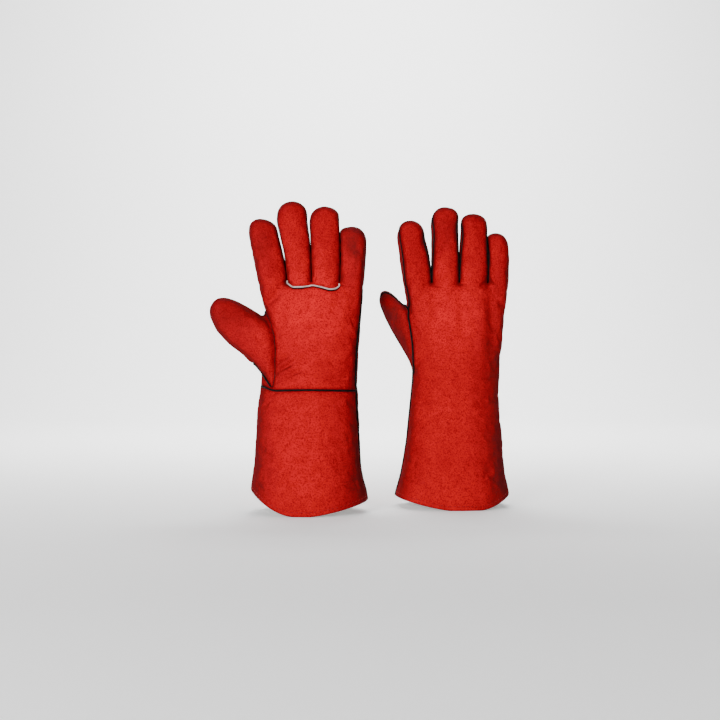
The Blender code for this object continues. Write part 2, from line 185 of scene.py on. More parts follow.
# How the edge of the cuff rises towards each side: rise at the corner, where it starts, exponent.
LEFT_HEM = ((27.0, 14.0, 1.8), (13.8, 2.0, 1.35))
RIGHT_HEM = ((12.5, 4.0, 1.3), (14.5, 30.0, 1.6))
WRIST_CUT = 137.0

# Height, and how far towards the palm the side seam lies there.
THUMB_SIDE_SEAM = [(0, 0), (75, -2), (140, -3), (225, -5), (250, -9.5), (285, -10.5), (316, -8), (332, 0)]
LITTLE_SIDE_SEAM = [(0, -4), (35, -1), (80, 6), (137, 8), (200, 7), (224, 4), (262, 1), (322, 0)]


def ramp(value, low, high):
    share = np.clip((value - low) / (high - low), 0.0, 1.0)
    return share * share * (3.0 - 2.0 * share)


def rounded(value):
    return np.sign(value) * np.abs(value) ** (2.0 / FULLNESS)


def table(rows, key, column):
    heights = [row[0] for row in rows]
    return np.interp(key, heights, [row[column] for row in rows])


class Form:
    """The shape of one glove and where its seams run."""

    def __init__(self, side, palm, body, fingers, thumb, turn, seam, back_seam, crotch, foot, knuckle, hem):
        self.side = side
        self.palm = palm
        self.body = body
        self.fingers = fingers
        self.thumb = thumb
        self.thumb_turn = turn
        self.thumb_seam = seam
        self.thumb_back_seam = back_seam
        self.crotch = crotch
        self.foot = foot
        self.knuckle = knuckle
        self.hem = hem
        low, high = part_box(f"{side}_cuff_palm_panel")
        back_low, back_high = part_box(f"{side}_cuff_back_panel")
        self.centre_x = (low[0] + high[0]) / 2.0 - CUFF_OFFSET * MM
        self.centre_y = (min(low[1], back_low[1]) + max(high[1], back_high[1])) / 2.0

    def world(self, x, d, z):
        return np.stack([self.centre_x + x * MM, self.centre_y + self.palm * d * MM, z * MM], axis=-1)

    def place(self, x, d, z):
        return Vector(self.world(np.float64(x), np.float64(d), np.float64(z)))

    def local(self, points):
        x = (points[:, 0] - self.centre_x) / MM
        d = self.palm * (points[:, 1] - self.centre_y) / MM
        return x, d, points[:, 2] / MM

    def middle(self, name, z):
        rows, tip = self.fingers[name]
        return table(rows + [tip], z, 1)

    def gaps(self, z):
        """For each pair of neighbouring fingers, the place between them and the room left there."""
        found = []
        for a, b in zip(FINGER_ORDER, FINGER_ORDER[1:]):
            right = self.middle(a, z) + table(self.fingers[a][0], z, 2)
            left = self.middle(b, z) - table(self.fingers[b][0], z, 2)
            found.append(((right + left) / 2.0, np.maximum(left - right, LEAST_ROOM)))
        return found

    def between(self, z):
        return [line for line, _ in self.gaps(z)]

    def finger_index(self, x, z):
        index = np.zeros(len(x), int)
        for line in self.between(z):
            index += (x > line).astype(int)
        return index

    def side_seam(self, x, z):
        """How far from the mid plane the seam lies, where no strip runs."""
        past_index = ramp(self.middle("index", z) - x, 0.0, SEAM_SWING)
        past_little = ramp(x - self.middle("little", z), 0.0, SEAM_SWING)
        return past_index * table(THUMB_SIDE_SEAM, z, 1) + past_little * table(LITTLE_SIDE_SEAM, z, 1)

    def strip(self, x, z):
        """1 where a strip runs down the side of a finger, 0 where there is none."""
        end, length = STRIP_HEAD
        index = self.finger_index(x, z)
        half = np.zeros(len(x))
        for i, name in enumerate(FINGER_ORDER):
            tip, _ = self.fingers[name][1]
            fade = np.clip((tip - end - z) / length, 0.0, 1.0) ** 0.6
            across = x - self.middle(name, z)
            side = np.zeros(len(x))
            if i > 0:
                side += ramp(-across, *STRIP_SIDE)
            if i < 3:
                side += ramp(across, *STRIP_SIDE)
            half = np.where(index == i, side * fade, half)
        return half * ramp(z, *STRIP_FOOT)

    def front_seam(self, x, d, z):
        return d - self.side_seam(x, z) - self.strip(x, z) * (STRIP_MIDDLE + STRIP_HALF)

    def rear_seam(self, x, d, z):
        return d - self.side_seam(x, z) - self.strip(x, z) * (STRIP_MIDDLE - STRIP_HALF)

    def thumb_mid(self, x, d, z):
        rows = [
            ((top_x + low_x) / 2.0, (top_z + low_z) / 2.0, (top_z - low_z) / 2.0, shift)
            for (top_x, top_z), (low_x, low_z), _, shift in reversed(self.thumb)
        ]
        middle, half, shift = (table(rows, x, c) for c in (1, 2, 3))
        up = ramp((z - middle) / half, -0.8, 0.8)
        upper, lower = self.thumb_turn
        return d - shift - lower - (upper - lower) * up

    def thumb_region(self, x, d, z):
        """Below 0 on the thumb."""
        palm_line = table(self.thumb_seam, z, 1)
        back_line = table(self.thumb_back_seam, z, 1)
        line = back_line + (palm_line - back_line) * ramp(d, -THUMB_SEAM_SPAN, THUMB_SEAM_SPAN)
        over = z - self.crotch[1] - (self.crotch[0] - x) * CROTCH_SLOPE
        out = self.foot[0] - x
        under = self.foot[1] + FOOT_SLOPE * np.minimum(out, FOOT_REACH) - z
        under = under - FOOT_DROP * np.maximum(out - FOOT_REACH, 0.0)
        return np.maximum(np.maximum(x - line, over), under)

    def wrist(self, x, d, z):
        bow, reach = WRIST_BOW
        return z - WRIST_CUT - WRIST_RISE * ramp(-x, *WRIST_RISE_SPAN) - bow * np.cos(x / reach)

    def knuckles(self, x, d, z):
        seam = np.interp(x, [p[0] for p in self.knuckle], [p[1] for p in self.knuckle])
        edge = ramp(x, self.knuckle[0][0], self.knuckle[1][0])
        edge = edge * (1.0 - ramp(x, self.knuckle[-2][0], self.knuckle[-1][0]))
        on_palm = ramp(d, -KNUCKLE_SPAN, KNUCKLE_SPAN) * edge
        return z - KNUCKLE_CUT - (seam - KNUCKLE_CUT) * on_palm

    def hem_line(self, x, d, z):
        for turn, (rise, start, power) in zip((-1.0, 1.0), self.hem):
            z = z - rise * np.clip((turn * x - start) / (CUFF_HALF - start), 0.0, 1.0) ** power
        return z


LEFT = Form(
    "left", -1.0, LEFT_BODY, LEFT_FINGERS, LEFT_THUMB, LEFT_THUMB_TURN, LEFT_THUMB_SEAM,
    LEFT_THUMB_BACK_SEAM, LEFT_CROTCH, LEFT_FOOT, LEFT_KNUCKLE_SEAM, LEFT_HEM,
)
RIGHT = Form(
    "right", 1.0, RIGHT_BODY, RIGHT_FINGERS, RIGHT_THUMB, RIGHT_THUMB_TURN, RIGHT_THUMB_SEAM,
    RIGHT_THUMB_BACK_SEAM, RIGHT_CROTCH, RIGHT_FOOT, RIGHT_KNUCKLE_SEAM, RIGHT_HEM,
)


# ---- lofting

ANGLES = np.linspace(0.0, 2.0 * np.pi, 40, endpoint=False)


def loft(mesh, rings):
    """A closed tube through rings of points."""
    rows = [[mesh.verts.new(p) for p in ring] for ring in rings]
    count = len(ANGLES)
    for low, high in zip(rows, rows[1:]):
        for i in range(count):
            n = (i + 1) % count
            mesh.faces.new((low[i], low[n], high[n], high[i]))
    mesh.faces.new(rows[0][::-1])
    mesh.faces.new(rows[-1])


def flat_ring(form, middle, half_width, half_depth, z):
    x = middle + half_width * rounded(np.cos(ANGLES))
    d = half_depth * rounded(np.sin(ANGLES))
    return form.world(x, d, np.full(len(ANGLES), z))


def body_rings(form):
    rings = []
    for z in np.linspace(BODY_START, SHOULDER, 55):
        low, high, half = (table(form.body, z, c) for c in (1, 2, 3))
        rings.append(flat_ring(form, (low + high) / 2.0, (high - low) / 2.0, half, z))
    for share in np.linspace(0.15, 0.98, 8):
        z = SHOULDER + (BODY_TOP[form.side] - SHOULDER) * share
        low, high, half = (table(form.body, SHOULDER, c) for c in (1, 2, 3))
        keep = math.sqrt(1.0 - share**2)
        width = (high - low) / 2.0 - SHOULDER_NARROWING * (1.0 - keep)
        rings.append(flat_ring(form, (low + high) / 2.0, width, half * max(keep, 0.1), z))
    return rings


def finger_width(form, name, z):
    """Middle and half width of a finger, kept clear of its neighbours."""
    i = FINGER_ORDER.index(name)
    rows = form.fingers[name][0]
    middle, half = table(rows, z, 1), table(rows, z, 2)
    left, right = middle - half, middle + half
    gaps = form.gaps(z)
    if i > 0:
        line, room = gaps[i - 1]
        left = max(left, line + max(room, SPREAD) / 2.0)
    if i < 3:
        line, room = gaps[i]
        right = min(right, line - max(room, SPREAD) / 2.0)
    return (left + right) / 2.0, (right - left) / 2.0


def finger_rings(form, name):
    rows, (tip, tip_x) = form.fingers[name]
    top = rows[-1][0]
    rings = []
    for z in np.linspace(rows[0][0], top, 20):
        share = ramp(z, FINGER_TAPER_START, top)
        depth = FINGER_BASE_DEPTH + (FINGER_TIP_DEPTH - FINGER_BASE_DEPTH) * share
        root = ROOT_DEPTH[name]
        depth *= root + (1.0 - root) * ramp(z, rows[0][0], ROOT_TOP)
        rings.append(flat_ring(form, *finger_width(form, name, z), depth, z))
    top_middle, top_half = finger_width(form, name, top)
    for share in np.linspace(0.12, 0.99, 12):
        keep = (1.0 - share**TIP_POWER) ** (1.0 / TIP_POWER)
        z = top + (tip - top) * share
        middle = top_middle + (tip_x - top_middle) * share**1.5
        depth = FINGER_TIP_DEPTH * (1.0 - share**TIP_DEPTH_POWER) ** (1.0 / TIP_DEPTH_POWER)
        rings.append(flat_ring(form, middle, top_half * keep, depth, z))
    return rings


def thumb_rings(form):
    columns = np.array([(*upper, *lower, half, shift) for upper, lower, half, shift in form.thumb]).T
    marks = range(len(form.thumb))
    rings = []
    for s in np.linspace(0.0, len(form.thumb) - 1.0, 40):
        top_x, top_z, low_x, low_z, half, shift = (np.interp(s, marks, column) for column in columns)
        reach = rounded(np.cos(ANGLES))
        x = (top_x + low_x) / 2.0 + (top_x - low_x) / 2.0 * reach
        z = (top_z + low_z) / 2.0 + (top_z - low_z) / 2.0 * reach
        rings.append(form.world(x, shift + half * rounded(np.sin(ANGLES)), z))
    return rings


def linked(name, data):
    made = bpy.data.objects.new(name, data)
    bpy.context.scene.collection.objects.link(made)
    return made


def object_from(name, mesh):
    data = bpy.data.meshes.new(name)
    mesh.to_mesh(data)
    return linked(name, data)


def evaluated_mesh(made):
    bpy.context.view_layer.update()
    graph = bpy.context.evaluated_depsgraph_get()
    return bpy.data.meshes.new_from_object(made.evaluated_get(graph), depsgraph=graph)


def baked(made):
    """The object with its modifiers applied."""
    data = evaluated_mesh(made)
    made.modifiers.clear()
    made.data = data
    return made


def fused_form(form):
    mesh = bmesh.new()
    parts = [body_rings(form), thumb_rings(form)] + [finger_rings(form, n) for n in FINGER_ORDER]
    for rings in parts:
        part = bmesh.new()
        loft(part, rings)
        bmesh.ops.recalc_face_normals(part, faces=part.faces[:])
        data = bpy.data.meshes.new("loft")
        part.to_mesh(data)
        mesh.from_mesh(data)
        part.free()
        bpy.data.meshes.remove(data)
    made = object_from(form.side + "_form", mesh)
    mesh.free()
    fuse = made.modifiers.new("fuse", "REMESH")
    fuse.mode = "VOXEL"
    fuse.voxel_size = VOXEL * MM
    calm = made.modifiers.new("calm", "SMOOTH")
    calm.factor = 0.5
    calm.iterations = 8
    return baked(made)


# ---- cloth

CLOTH_SETTINGS = {
    "quality": 4,
    "mass": 0.4,
    "tension_stiffness": 20.0,
    "compression_stiffness": 20.0,
    "shear_stiffness": 10.0,
    "bending_stiffness": 1.5,
    "use_pressure": True,
    "uniform_pressure_force": 2.0,
    "shrink_min": -0.012,  # a little too large, so it creases
    "pin_stiffness": 0.6,
}
CLOTH_FRAMES = 14
FARTHEST_MOVE = 2.5
HEM_HOLD = (2.0, 30.0)  # the cuff is held near its hem and is free above this
LEAST_HOLD = 0.12
SEAM_HOLD = (1.0, 4.0)  # the leather is held this near a seam and is free beyond

PUSH_BELOW = 4.5  # the fingers come together over this height round the top of the hand
PUSH_ABOVE = 2.5
PUSH_REACH = 15.0
FLAT_GAP = 0.2  # left where two fingers touch


def read(data, what):
    """The "co" or the "normal" of each vertex."""
    flat = np.empty(len(data.vertices) * 3)
    data.vertices.foreach_get(what, flat)
    return flat.reshape(-1, 3)


def put_points(data, points):
    data.vertices.foreach_set("co", points.ravel().astype(np.float32))
    data.update()


def seam_closeness(form, points):
    """1 on a seam and 0 well away from it."""
    x, d, z = form.local(points)
    on_thumb = form.thumb_region(x, d, z) < 0.0
    side = np.minimum(np.abs(form.front_seam(x, d, z)), np.abs(form.rear_seam(x, d, z)))
    side = np.where(on_thumb, np.abs(form.thumb_mid(x, d, z)), side)
    wrist = np.where(d > 0.0, np.abs(form.wrist(x, d, z)), 99.0)
    inside = (x > form.knuckle[1][0]) & (x < form.knuckle[-2][0]) & (d > 0.0)
    knuckle = np.where(inside, np.abs(form.knuckles(x, d, z)), 99.0)
    thumb = np.abs(form.thumb_region(x, d, z))
    nearest = np.minimum(np.minimum(side, wrist), np.minimum(knuckle, thumb))
    return 1.0 - ramp(nearest, *SEAM_HOLD)


def inflate(form, made):
    """Leather under a little pressure, held at its seams and hem, slightly too large so that it creases."""
    start = read(made.data, "co")
    hold = seam_closeness(form, start)
    _, _, z = form.local(start)
    hold = np.maximum(hold, 1.0 - ramp(z, *HEM_HOLD))
    group = made.vertex_groups.new(name="hold")
    for i, weight in enumerate(hold):
        group.add([i], float(LEAST_HOLD + (1.0 - LEAST_HOLD) * weight), "REPLACE")
    cloth = made.modifiers.new("leather", "CLOTH")
    for key, value in CLOTH_SETTINGS.items():
        setattr(cloth.settings, key, value)
    cloth.settings.vertex_group_mass = "hold"
    cloth.settings.effector_weights.gravity = 0.0
    cloth.collision_settings.use_collision = False
    cloth.point_cache.frame_start = 1
    cloth.point_cache.frame_end = CLOTH_FRAMES
    scene = bpy.context.scene
    for frame_number in range(1, CLOTH_FRAMES + 1):
        scene.frame_set(frame_number)
    graph = bpy.context.evaluated_depsgraph_get()
    moved = read(made.evaluated_get(graph).data, "co")
    made.modifiers.clear()
    made.vertex_groups.clear()
    scene.frame_set(1)
    step = moved - start
    length = np.linalg.norm(step, axis=1, keepdims=True)
    cap = FARTHEST_MOVE * MM
    step *= np.tanh(length / cap) * cap / np.maximum(length, 1e-9)
    put_points(made.data, start + step)


def push_together(form, made):
    """Bring the fingers to their real distance apart, flat where they touch."""
    points = read(made.data, "co") + read(made.data, "normal") * GROW * MM
    x, d, z = form.local(points)
    top = BODY_TOP[form.side]
    fade = ramp(z, top - PUSH_BELOW, top + PUSH_ABOVE)
    moved = x.copy()
    for line, room in form.gaps(z):
        u = x - line
        size = np.abs(u)
        step = np.maximum((SPREAD - room) / 2.0 + SHRUNK - GROW, 0.0) * fade
        near = np.minimum(size / (SPREAD / 2.0), 1.0) * (1.0 - ramp(size, SPREAD / 2.0 + 1.0, PUSH_REACH))
        closer = np.maximum(size - step * near, np.minimum(size, FLAT_GAP * fade))
        moved = np.where(size < PUSH_REACH, line + np.sign(u) * closer, moved)
    points[:, 0] += (moved - x) * MM
    put_points(made.data, points)


# ---- creases

CREASE_DEPTH = 1.45
CREASE_FACING = (0.1, 0.6)  # a crease fades where the leather turns away


def groove(x, z, a, b, width, depth):
    """A soft groove between two points of the palm or the back."""
    ax, az = a
    bx, bz = b
    along_x, along_z = bx - ax, bz - az
    length = along_x**2 + along_z**2
    share = np.clip(((x - ax) * along_x + (z - az) * along_z) / length, 0.0, 1.0)
    near = np.hypot(x - ax - share * along_x, z - az - share * along_z)
    fade = np.sin(np.pi * np.clip(share, 0.04, 0.96)) ** 0.5
    return -depth * CREASE_DEPTH * np.exp(-((near / width) ** 2)) * fade


PALM_CREASES = [
    ((-35, 158), (-14, 170), 2.6, 3.1), ((-33, 150), (-4, 161), 2.8, 2.8), ((-36, 167), (-20, 177), 2.4, 2.6),
    ((-24, 149), (-8, 152), 2.4, 1.8), ((-20, 163), (2, 166), 2.6, 1.6), ((16, 147), (46, 152), 3.4, 1.5),
    ((40, 188), (50, 228), 6.0, 1.2),
    ((-34, 205), (-18, 233), 6.0, 1.2), ((4, 250), (2, 224), 5.0, 1.1), ((33, 248), (30, 226), 5.0, 1.1),
    ((-62, 205), (-50, 188), 4.5, 1.1), ((-45, 235), (-30, 248), 5.0, 1.0),
]
BACK_CREASES = [
    ((-23, 260), (-21, 206), 5.5, 1.3), ((8.6, 262), (11, 188), 6.5, 1.8), ((41, 262), (49, 206), 7.5, 2.4),
    ((49, 236), (43, 150), 10.0, 2.4), ((24, 240), (25, 165), 10.0, 1.3), ((-40, 150), (-20, 139), 4.0, 1.2),
    ((20, 118), (50, 128), 5.0, 1.4), ((-44, 122), (-18, 128), 5.0, 1.2),
]


def crease(form, made):
    points = read(made.data, "co")
    normals = read(made.data, "normal")
    x, d, z = form.local(points)
    deep = np.zeros(len(points))
    for creases, side in ((PALM_CREASES, form.palm), (BACK_CREASES, -form.palm)):
        facing = ramp(normals[:, 1] * side, *CREASE_FACING)
        for a, b, width, depth in creases:
            deep += groove(x, z, a, b, width, depth) * facing
    put_points(made.data, points + normals * deep[:, None] * MM)


# ---- cutting along seams

SNAP = 0.12


def cut(mesh, form, field, where=None):
    """Split faces along the line where a field is 0."""
    mesh.verts.ensure_lookup_table()
    mesh.verts.index_update()
    x, d, z = form.local(np.array([v.co[:] for v in mesh.verts]))
    value = field(x, d, z)
    allowed = np.ones(len(value), bool) if where is None else where(x, d, z)
    on_line = np.abs(value) < SNAP
    sign = np.where(on_line, 0, np.sign(value)).astype(int)
    pairs = np.array([(e.verts[0].index, e.verts[1].index) for e in mesh.edges])
    crossing = (sign[pairs[:, 0]] * sign[pairs[:, 1]] < 0) & allowed[pairs[:, 0]] & allowed[pairs[:, 1]]
    mesh.edges.ensure_lookup_table()
    edges = [mesh.edges[i] for i in np.nonzero(crossing)[0]]
    joins = [mesh.verts[i] for i in np.nonzero(on_line & allowed)[0]]
    for edge in edges:
        first = edge.verts[0]
        a, b = value[first.index], value[edge.verts[1].index]
        _, made = bmesh.utils.edge_split(edge, first, a / (a - b))
        joins.append(made)
    bmesh.ops.connect_verts(mesh, verts=joins, check_degenerate=True)


def face_places(mesh, form):
    return form.local(np.array([f.calc_center_median()[:] for f in mesh.faces]))


def trim_hem(mesh, form, least):
    """Cut along the hem and drop what lies less than the given height above it."""
    cut(mesh, form, form.hem_line)
    below = form.hem_line(*face_places(mesh, form)) <= least
    mesh.faces.ensure_lookup_table()
    gone = [mesh.faces[i] for i in np.nonzero(below)[0]]
    bmesh.ops.delete(mesh, geom=gone, context="FACES")


def cut_all(mesh, form):
    trim_hem(mesh, form, 0.0)

    def off_thumb(x, d, z):
        return form.thumb_region(x, d, z) > -2.0 * SNAP

    def on_thumb(x, d, z):
        return form.thumb_region(x, d, z) < 2.0 * SNAP

    cut(mesh, form, form.thumb_region, lambda x, d, z: x < 0.0)
    cut(mesh, form, form.thumb_mid, on_thumb)
    for seam in (form.front_seam, form.rear_seam, form.wrist, form.knuckles):
        cut(mesh, form, seam, off_thumb)
    for i in range(3):
        def gap_line(x, d, z, i=i):
            return x - form.between(z)[i]

        def near_gap(x, d, z, i=i):
            high = form.knuckles(x, d, z) > -1.0
            return high & (np.abs(x - form.between(z)[i]) < 5.0)

        cut(mesh, form, gap_line, near_gap)


STRIP_NAMES = {
    ("index", 1): "index_fourchette",
    ("middle", -1): "middle_fourchette_index_side",
    ("middle", 1): "middle_fourchette_ring_side",
    ("ring", -1): "ring_fourchette_middle_side",
    ("ring", 1): "ring_fourchette_little_side",
    ("little", -1): "little_fourchette",
}


def name_faces(mesh, form):
    """The panel that each face belongs to."""
    x, d, z = face_places(mesh, form)
    thumb = form.thumb_region(x, d, z) < 0.0
    thumb_front = form.thumb_mid(x, d, z) > 0.0
    front = form.front_seam(x, d, z) > 0.0
    rear = form.rear_seam(x, d, z) < 0.0
    cuff = form.wrist(x, d, z) < 0.0
    finger = (form.knuckles(x, d, z) > 0.0) & (z > 240.0)
    index = form.finger_index(x, z)
    names = []
    for i in range(len(x)):
        if thumb[i]:
            names.append("thumb_front" if thumb_front[i] else "thumb_back")
        elif finger[i]:
            name = FINGER_ORDER[index[i]]
            if front[i]:
                names.append(name + "_front")
            elif rear[i]:
                names.append(name + "_back")
            else:
                turn = 1 if x[i] > form.middle(name, z[i]) else -1
                names.append(STRIP_NAMES.get((name, turn), name + "_front"))
        elif cuff[i]:
            names.append("cuff_palm_panel" if front[i] else "cuff_back_panel")
        else:
            names.append("palm_panel" if front[i] else "hand_back_panel")
    return names


def body_of(panel):
    if panel.startswith("cuff"):
        return "cuff"
    for name in FINGER_ORDER + ["thumb"]:
        if panel.startswith(name):
            return name
    return "hand"


FLOWING = [
    {"cuff_back_panel", "hand_back_panel"}, {"palm_panel", "index_front"}, {"palm_panel", "little_front"},
]


def seam_kind(a, b, form, place):
    """What lies in the seam between two panels, or None where the hide runs on."""
    pair = {a, b}
    if a == b or pair in FLOWING:
        return None
    if pair in ({"palm_panel", "hand_back_panel"}, {"cuff_palm_panel", "cuff_back_panel"}):
        return SIDE
    bodies = {body_of(a), body_of(b)}
    if pair in ({"palm_panel", "middle_front"}, {"palm_panel", "ring_front"}):
        return PALE
    if "hand" in bodies and bodies & set(FINGER_ORDER):
        return None
    if len(bodies) == 2 and not bodies & {"hand", "cuff", "thumb"}:
        return None
    if bodies == {"hand", "thumb"}:
        x, d, z = (float(v[0]) for v in form.local(np.array([place[:]])))
        under = x < form.foot[0] - 2.0 and z < form.foot[1] + 45.0
        return BLACK if under or d < 1.0 else TUCK
    return BLACK


def chains(edges):
    """Join edges, given as pairs of vertices, into runs of vertices."""
    links = {}
    for a, b in edges:
        links.setdefault(a, []).append(b)
        links.setdefault(b, []).append(a)
    left = {frozenset(e) for e in edges}

    def onward(here):
        return next((n for n in links[here] if frozenset((here, n)) in left), None)

    runs = []
    for start in [v for v, n in links.items() if len(n) != 2] + list(links):
        while (step := onward(start)) is not None:
            run = [start]
            while step is not None:
                left.discard(frozenset((run[-1], step)))
                run.append(step)
                step = onward(step) if len(links[step]) == 2 else None
            runs.append(run)
    return runs


def tree_of(points):
    tree = kdtree.KDTree(len(points))
    for i, point in enumerate(points):
        tree.insert(point, i)
    tree.balance()
    return tree


class Sewn:
    """A glove's skin after cutting: named faces, seam runs and the painted shade near the seams."""

    def __init__(self, mesh, form):
        self.mesh = mesh
        self.form = form
        mesh.faces.ensure_lookup_table()
        mesh.faces.index_update()
        self.names = name_faces(mesh, form)
        mesh.verts.index_update()
        self.seams = {}
        for edge in mesh.edges:
            if len(edge.link_faces) != 2:
                continue
            a, b = (self.names[f.index] for f in edge.link_faces)
            kind = seam_kind(a, b, form, (edge.verts[0].co + edge.verts[1].co) / 2.0)
            if kind:
                owner = body_of(a) if body_of(a) == body_of(b) else "hand"
                pair = (edge.verts[0].index, edge.verts[1].index)
                self.seams.setdefault((kind, owner), []).append(pair)
        self.dip()

    def dip(self):
        """The leather turns in towards each seam and is puckered along it."""
        mesh = self.mesh
        mesh.verts.ensure_lookup_table()
        runs = []
        for (_, owner), edges in self.seams.items():
            runs += [(run, FINGER_DIP if owner in FINGER_ORDER else 1.0) for run in chains(edges)]
        marks = []
        for run, share in runs:
            travelled = 0.0
            last = mesh.verts[run[0]].co
            for i in run:
                here = mesh.verts[i].co
                travelled += (here - last).length
                last = here
                marks.append((here.copy(), travelled, share))
        tree = tree_of([mark[0] for mark in marks])
        mesh.normal_update()
        self.near = np.zeros(len(mesh.verts))
        moves = []
        for vertex in mesh.verts:
            _, i, distance = tree.find(vertex.co)
            distance /= MM
            close = math.exp(-((distance / SEAM_DIP_WIDTH) ** 2))
            # painted shade, darker the nearer a seam
            self.near[vertex.index] = math.exp(-distance / SEAM_SHADE)
            travelled = marks[i][1] / MM
            beside = math.exp(-(((distance - PUCKER_PLACE) / PUCKER_WIDTH) ** 2))
            pucker = sum(size * math.sin(travelled / length + turn) for size, length, turn in PUCKERS)
            moves.append(vertex.normal * (-SEAM_DIP * marks[i][2] * close + pucker * beside) * MM)
        for vertex, move in zip(mesh.verts, moves):
            vertex.co += move
        mesh.normal_update()


# Painted shade: darker patches, mostly on the sides turned from the light and on the thumb: place across,
# height, reach across and along, strength.
PAINTED_SHADE_PATCHES = {
    "left": [
        (62, 55, 25, 62, 0.75), (-64, 55, 19, 62, 0.7), (-88, 215, 34, 34, 0.42), (51, 300, 12, 40, 0.8),
        (-52, 300, 14, 40, 0.35), (-30, 160, 16, 12, 0.25),
    ],
    "right": [
        (60, 150, 27, 92, 0.8), (60, 30, 25, 60, 0.7), (-74, 215, 27, 42, 0.85), (-8, 325, 15, 24, 0.4),
    ],
}
PALM_LIGHT_POOL = (4, 222, 50, 60, 1.0)  # painted light: a brighter pool where the light falls on the middle of the palm
# Painted light on the cuff: brighter in its middle, fading out above the wrist.
CUFF_LIGHT_POOL = 0.45
CUFF_LIGHT_POOL_REACH = 55.0
CUFF_LIGHT_POOL_TOP = (140.0, 200.0)
# Painted shade along the hem: full at the hem, gone this far above it.
HEM_SHADE = (0.4, 2.2)


def patch(x, z, middle, height, across, along, strength):
    return strength * np.exp(-(((x - middle) / across) ** 2) - ((z - height) / along) ** 2)


# Painted shade from the patches above, at most 1.
def painted_shade(form, x, z):
    return np.minimum(sum(patch(x, z, *row) for row in PAINTED_SHADE_PATCHES[form.side]), 1.0)


def vertex_table(faces):
    """The vertices of some faces with their places and normals, and the faces as lists of numbers."""
    order = {}
    for face in faces:
        for v in face.verts:
            order.setdefault(v, len(order))
    places = np.array([v.co[:] for v in order])
    normals = np.array([v.normal[:] for v in order])
    return list(order), places, normals, [[order[v] for v in f.verts] for f in faces]


def closed_sheet(name, outer, inner, polygons, material):
    """A sheet with an outer face, an inner face and a rim between them."""
    count = len(outer)
    inside = [[i + count for i in reversed(p)] for p in polygons]
    used = dict.fromkeys(pair for p in polygons for pair in zip(p, p[1:] + p[:1]))
    rim = [(b, a, a + count, b + count) for a, b in used if (b, a) not in used]
    data = bpy.data.meshes.new(name)
    data.from_pydata(np.vstack([outer, inner]).tolist(), [], polygons + inside + rim)
    data.update()
    data.shade_smooth()
    data.materials.append(material)
    return linked(name, data)


def panel_object(sewn, panel):
    """The faces of one panel as a closed sheet of leather."""
    form = sewn.form
    faces = [f for f, n in zip(sewn.mesh.faces, sewn.names) if n == panel]
    verts, outer, normals, polygons = vertex_table(faces)
    inner = outer - normals * LEATHER * MM
    inner[:, 2] = np.maximum(inner[:, 2], np.minimum(outer[:, 2], HEM_FLOOR * MM))
    made = closed_sheet(f"{form.side}_{panel}_skin", outer, inner, polygons, SUEDE)
    made.data.normals_split_custom_set_from_vertices(np.vstack([normals, -normals]).tolist())
    x, d, z = form.local(outer)
    indices = [v.index for v in verts]
    # Painted shade near the seams and along the hem.
    near = np.maximum(sewn.near[indices], 1.0 - ramp(form.hem_line(x, d, z), *HEM_SHADE))
    # Painted light: a brighter pool on the middle of the palm and the middle of the cuff.
    palm_light_pool = patch(x, z, *PALM_LIGHT_POOL)
    cuff = CUFF_LIGHT_POOL * np.exp(-((x / CUFF_LIGHT_POOL_REACH) ** 2)) * (1.0 - ramp(z, *CUFF_LIGHT_POOL_TOP))
    # The last attribute is painted shade: darker patches on the sides turned from the light.
    looks = {"seam": near, "light_pool": np.maximum(palm_light_pool, cuff), "painted_shade": painted_shade(form, x, z)}
    for name, values in looks.items():
        attribute = made.data.attributes.new(name, "FLOAT", "POINT")
        attribute.data.foreach_set("value", np.concatenate([values, values]).astype(np.float32))
    return made


# ---- motion

WRIST_BEND = (97.0, 137.0)  # heights at the wrist; their places are computed but not used
FINGER_BEND = (260.5, 284.0)
THUMB_BEND = (5.0, 32.0)  # outwards from the thumb's root


def attach(form, piece, body):
    """Ride with the hand's CAD body; other pieces only have their transform baked."""
    hand = form.side + "_hand"
    if body == "hand":
        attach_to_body(piece, hand)
    elif body == "thumb":
        top, foot = (Vector(p) for p in form.thumb[1][:2])
        middle = (top + foot) / 2.0
        away = Vector((foot.y - top.y, top.x - foot.x)).normalized()
        start, end = (middle + away * reach for reach in THUMB_BEND)
        form.place(start.x, 0, start.y)
        form.place(end.x, 0, end.y)
        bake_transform(piece)
    elif body == "cuff":
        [form.place(0, 0, z) for z in WRIST_BEND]
        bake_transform(piece)
    else:
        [form.place(0, 0, z) for z in FINGER_BEND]
        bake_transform(piece)


# ---- materials

